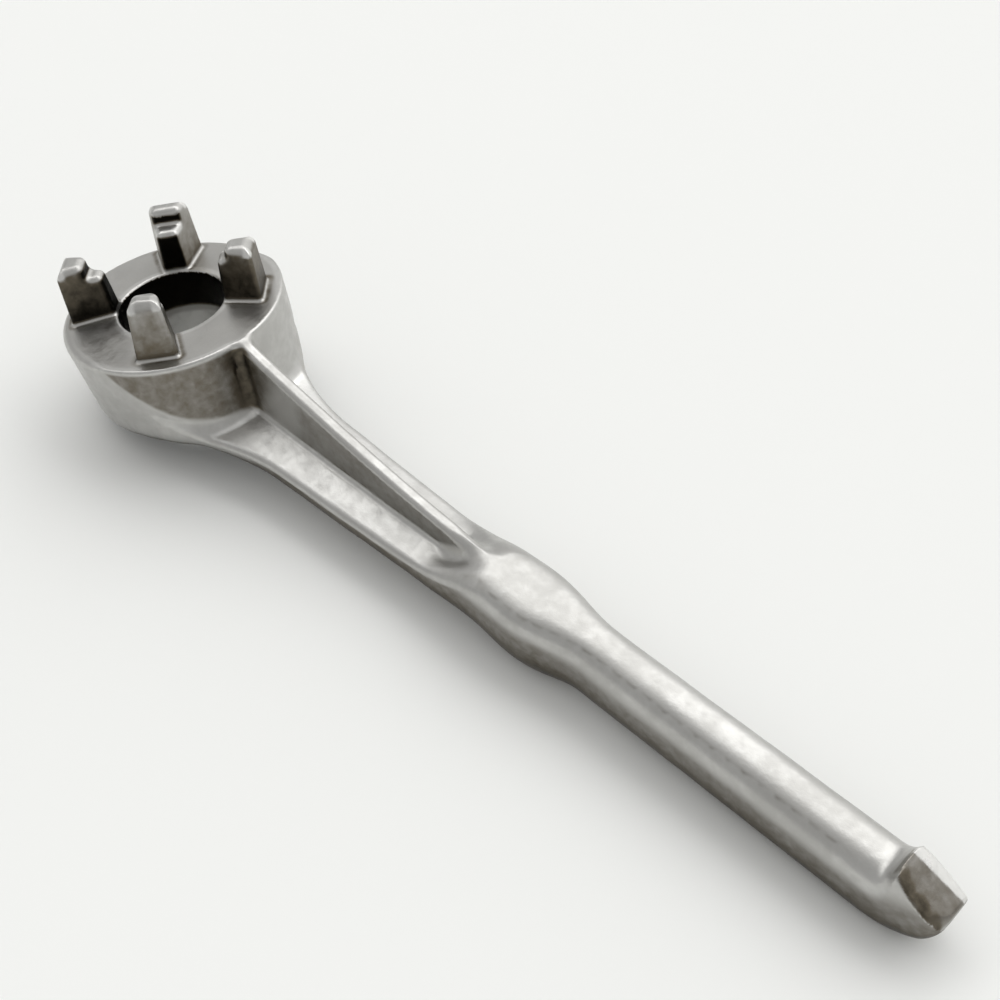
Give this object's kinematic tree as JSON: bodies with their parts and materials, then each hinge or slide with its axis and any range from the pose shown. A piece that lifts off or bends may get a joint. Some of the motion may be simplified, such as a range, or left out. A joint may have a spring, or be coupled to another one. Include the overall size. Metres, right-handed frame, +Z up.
{
  "type": "drum plug wrench",
  "caption": "One-piece cast aluminium drum plug wrench: bored round head with stepped upright lugs, ribbed neck, palm swell, oval grip and a raised pry tip.",
  "frame": {"origin": "middle of the outline on the surface that the wrench lies on", "axes": "+X along the handle towards the pry tip, +Z up, lugs upwards, +Y to the right of the head"},
  "size_m": [0.2738, 0.06, 0.0507],
  "materials": {
    "cast_aluminium": "tumbled casting, satin, slightly mottled"
  },
  "bodies": {
    "root": {"head_ring": "cast_aluminium", "lug_rear_right": "cast_aluminium", "lug_front_right": "cast_aluminium", "lug_front_left": "cast_aluminium", "lug_rear_left": "cast_aluminium", "neck_flange": "cast_aluminium", "neck_rib": "cast_aluminium", "palm_swell": "cast_aluminium", "grip_bar": "cast_aluminium", "pry_tip": "cast_aluminium"}
  },
  "joints": []
}
